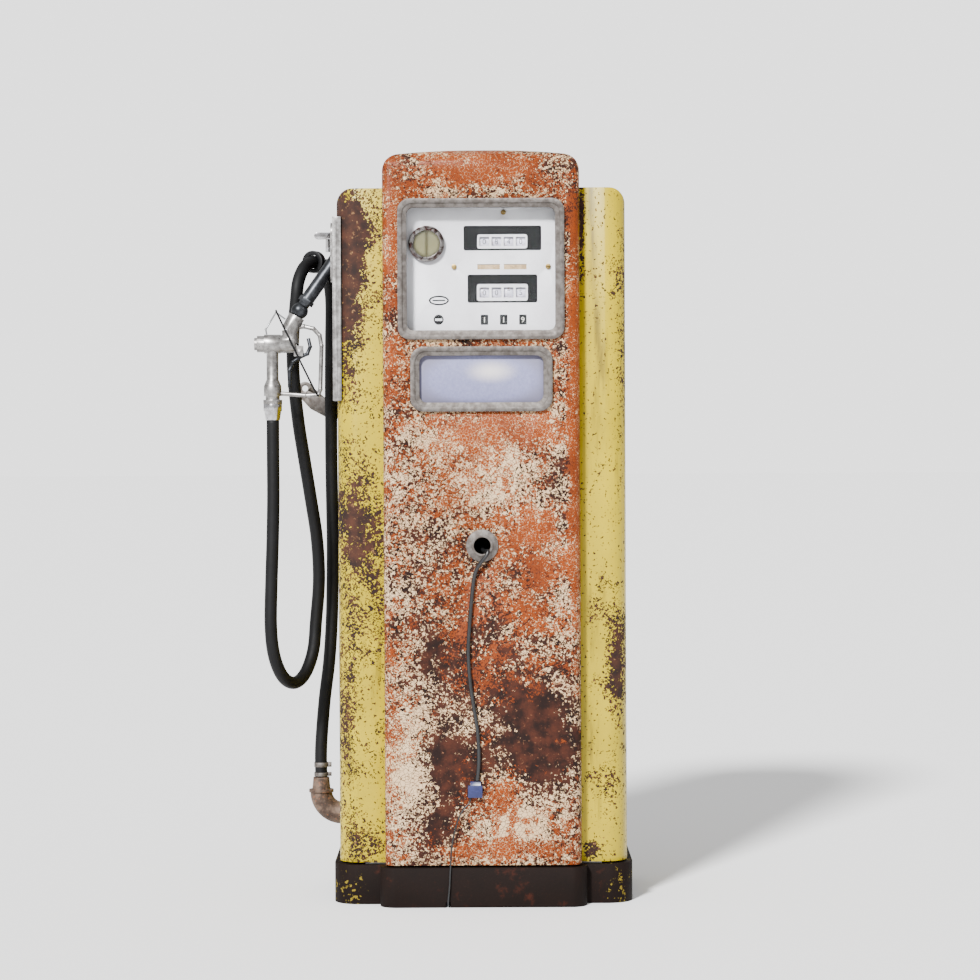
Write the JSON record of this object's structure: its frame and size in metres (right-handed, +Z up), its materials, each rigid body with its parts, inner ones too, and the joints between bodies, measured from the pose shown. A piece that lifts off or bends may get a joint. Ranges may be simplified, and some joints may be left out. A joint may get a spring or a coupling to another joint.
{
  "type": "gas pump",
  "caption": "Vintage twin-faced petrol pump: arched centre tower, two side cabinets, dial window, belt-driven pump inside, hose and nozzle on the left side.",
  "frame": {"origin": "centre of the four anchor bolts on the floor", "axes": "+Z up, -Y the front face, +X to the right seen from the front"},
  "size_m": [0.794, 0.495, 1.575],
  "materials": {
    "orange_enamel": "worn",
    "yellow_enamel": "worn",
    "base_enamel": "worn",
    "black_enamel": "worn",
    "zinc": "worn",
    "steel": "worn",
    "dark_steel": "worn",
    "rusty_iron": "worn",
    "glass": "worn",
    "milk_glass": "worn",
    "white_enamel": "worn",
    "brass": "worn",
    "chrome": "worn",
    "cast_iron": "worn",
    "rubber": "worn",
    "aluminium": "worn",
    "black_plastic": "worn",
    "blue_plastic": "worn",
    "number_wheel": "worn"
  },
  "bodies": {
    "root": {"base_skirt": "base_enamel", "cabinet_frame": "steel", "left_panel": "yellow_enamel", "right_panel": "yellow_enamel", "crown": "orange_enamel", "front_dial_plate": "white_enamel", "rear_dial_plate": "white_enamel", "dial_screws": "brass", "front_sight_glass": "chrome", "rear_sight_glass": "chrome", "lamps": "milk_glass", "register_case": "steel", "counter_shafts": "steel", "price_drums": "black_plastic", "meter": "cast_iron", "motor": "cast_iron", "pump_unit": "cast_iron", "drive_belt": "rubber", "air_separator": "cast_iron", "pipework": "steel", "junction_box": "steel", "outlet_elbow": "rusty_iron", "hose_clamps": "zinc", "nozzle_boot": "aluminium", "hose_hanger": "black_enamel", "lock_plate": "zinc", "hose": "rubber"},
    "front_door": {"front_door": "orange_enamel", "front_dial_bezel": "zinc", "front_dial_glass": "glass", "front_ad_bezel": "zinc", "front_ad_panel": "milk_glass", "lock_escutcheon": "zinc", "power_cable": "black_plastic", "cable_connector": "blue_plastic"},
    "rear_door": {"rear_door": "orange_enamel", "rear_dial_bezel": "zinc", "rear_dial_glass": "glass", "rear_ad_bezel": "zinc", "rear_ad_panel": "milk_glass", "rear_lock": "zinc"},
    "nozzle": {"nozzle_body": "aluminium", "nozzle_spout": "dark_steel", "nozzle_bail": "steel", "hose_ferrule": "chrome"},
    "nozzle_lever": {"nozzle_lever": "dark_steel"},
    "switch_lever": {"switch_lever": "chrome"},
    "motor_pulley": {"motor_pulley": "cast_iron"},
    "pump_pulley": {"pump_pulley": "cast_iron"},
    "meter_shaft": {"meter_shaft": "steel"},
    "rear_cost_wheels": {"rear_cost_wheels": "number_wheel"},
    "rear_volume_wheels": {"rear_volume_wheels": "number_wheel"},
    "cost_wheel_1": {"cost_wheel_1": "number_wheel"},
    "cost_wheel_2": {"cost_wheel_2": "number_wheel"},
    "cost_wheel_3": {"cost_wheel_3": "number_wheel"},
    "cost_wheel_4": {"cost_wheel_4": "number_wheel"},
    "volume_wheel_1": {"volume_wheel_1": "number_wheel"},
    "volume_wheel_2": {"volume_wheel_2": "number_wheel"},
    "volume_wheel_3": {"volume_wheel_3": "number_wheel"},
    "volume_wheel_4": {"volume_wheel_4": "number_wheel"}
  },
  "joints": [
    {"name": "front_door_lift", "type": "slide", "parent": "root", "child": "front_door", "axis": [0, -0.9848, 0.1736], "range_m": [0, 0.1]},
    {"name": "rear_door_lift", "type": "slide", "parent": "root", "child": "rear_door", "axis": [0, 0.9848, 0.1736], "range_m": [0, 0.1]},
    {"name": "nozzle_draw", "type": "slide", "parent": "root", "child": "nozzle", "axis": [-0.5767, 0, -0.817], "range_m": [0, 0.08], "deforming": ["hose"]},
    {"name": "nozzle_trigger", "type": "hinge", "parent": "nozzle", "child": "nozzle_lever", "pos_m": [-0.384, -0.105, 1.158], "axis": [0, 1, 0], "range_deg": [0, 8], "stiffness_Nm_per_rad": 1, "springref_deg": -17.19},
    {"name": "switch_turn", "type": "hinge", "parent": "root", "child": "switch_lever", "pos_m": [-0.306, -0.105, 1.404], "axis": [0, 1, 0], "range_deg": [0, 28]},
    {"name": "motor_spin", "type": "hinge", "parent": "root", "child": "motor_pulley", "pos_m": [0.15, -0.15, 0.183], "axis": [0, 1, 0], "continuous": true},
    {"name": "pump_spin", "type": "hinge", "parent": "root", "child": "pump_pulley", "pos_m": [-0.07, -0.15, 0.198], "axis": [0, 1, 0], "continuous": true},
    {"name": "meter_spin", "type": "hinge", "parent": "root", "child": "meter_shaft", "pos_m": [-0.06, 0.04, 0.9], "axis": [0, 0, 1], "continuous": true},
    {"name": "cost_1_turn", "type": "hinge", "parent": "root", "child": "cost_wheel_1", "pos_m": [0.007, -0.17, 1.384], "axis": [1, 0, 0], "continuous": true},
    {"name": "cost_2_turn", "type": "hinge", "parent": "root", "child": "cost_wheel_2", "pos_m": [0.0323, -0.17, 1.384], "axis": [1, 0, 0], "continuous": true},
    {"name": "cost_3_turn", "type": "hinge", "parent": "root", "child": "cost_wheel_3", "pos_m": [0.0576, -0.17, 1.384], "axis": [1, 0, 0], "continuous": true},
    {"name": "cost_4_turn", "type": "hinge", "parent": "root", "child": "cost_wheel_4", "pos_m": [0.0829, -0.17, 1.384], "axis": [1, 0, 0], "continuous": true},
    {"name": "rear_cost_turn", "type": "hinge", "parent": "root", "child": "rear_cost_wheels", "pos_m": [0, 0.17, 1.384], "axis": [-1, 0, 0], "continuous": true},
    {"name": "volume_1_turn", "type": "hinge", "parent": "root", "child": "volume_wheel_1", "pos_m": [0.007, -0.17, 1.279], "axis": [1, 0, 0], "continuous": true},
    {"name": "volume_2_turn", "type": "hinge", "parent": "root", "child": "volume_wheel_2", "pos_m": [0.0323, -0.17, 1.279], "axis": [1, 0, 0], "continuous": true},
    {"name": "volume_3_turn", "type": "hinge", "parent": "root", "child": "volume_wheel_3", "pos_m": [0.0576, -0.17, 1.279], "axis": [1, 0, 0], "continuous": true},
    {"name": "volume_4_turn", "type": "hinge", "parent": "root", "child": "volume_wheel_4", "pos_m": [0.0829, -0.17, 1.279], "axis": [1, 0, 0], "continuous": true},
    {"name": "rear_volume_turn", "type": "hinge", "parent": "root", "child": "rear_volume_wheels", "pos_m": [0, 0.17, 1.279], "axis": [-1, 0, 0], "continuous": true}
  ],
  "couplings": [
    {"joint": "pump_spin", "follows": "motor_spin", "ratio": 0.39773},
    {"joint": "cost_1_turn", "follows": "meter_spin", "ratio": 0.001},
    {"joint": "cost_2_turn", "follows": "meter_spin", "ratio": 0.01},
    {"joint": "cost_3_turn", "follows": "meter_spin", "ratio": 0.1},
    {"joint": "cost_4_turn", "follows": "meter_spin", "ratio": 1},
    {"joint": "rear_cost_turn", "follows": "meter_spin", "ratio": 1},
    {"joint": "volume_1_turn", "follows": "meter_spin", "ratio": 0.001},
    {"joint": "volume_2_turn", "follows": "meter_spin", "ratio": 0.01},
    {"joint": "volume_3_turn", "follows": "meter_spin", "ratio": 0.1},
    {"joint": "volume_4_turn", "follows": "meter_spin", "ratio": 1},
    {"joint": "rear_volume_turn", "follows": "meter_spin", "ratio": 1}
  ]
}
